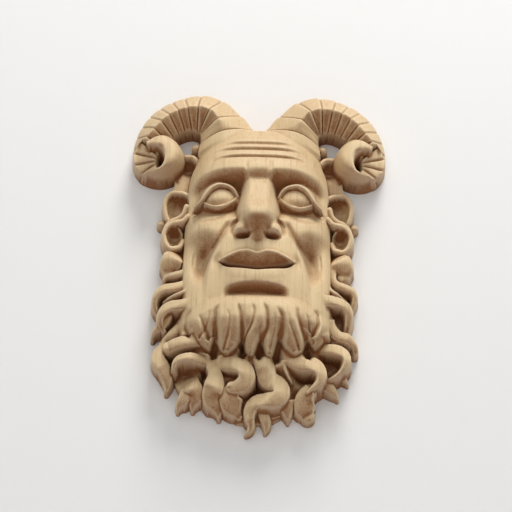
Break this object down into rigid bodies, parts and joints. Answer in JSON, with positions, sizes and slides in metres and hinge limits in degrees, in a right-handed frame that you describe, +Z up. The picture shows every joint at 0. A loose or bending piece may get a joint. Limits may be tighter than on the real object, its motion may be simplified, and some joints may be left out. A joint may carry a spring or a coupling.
{
  "type": "carved satyr mask",
  "caption": "Wall ornament carved in relief from pale wood: a horned, bearded satyr face with curling locks and a flat back.",
  "frame": {"origin": "on the flat back face, behind the middle of the face, at the mount back", "axes": "+Z up along the mask's height, +X to the right of a person looking at the face, +Y into the wall; the face looks along -Y"},
  "size_m": [0.1842, 0.0652, 0.2527],
  "materials": {
    "beech_wood": "bare pale beech, fine sanded, with dark pore flecks along a vertical grain"
  },
  "bodies": {
    "root": {"satyr_mask": "beech_wood"}
  },
  "joints": []
}
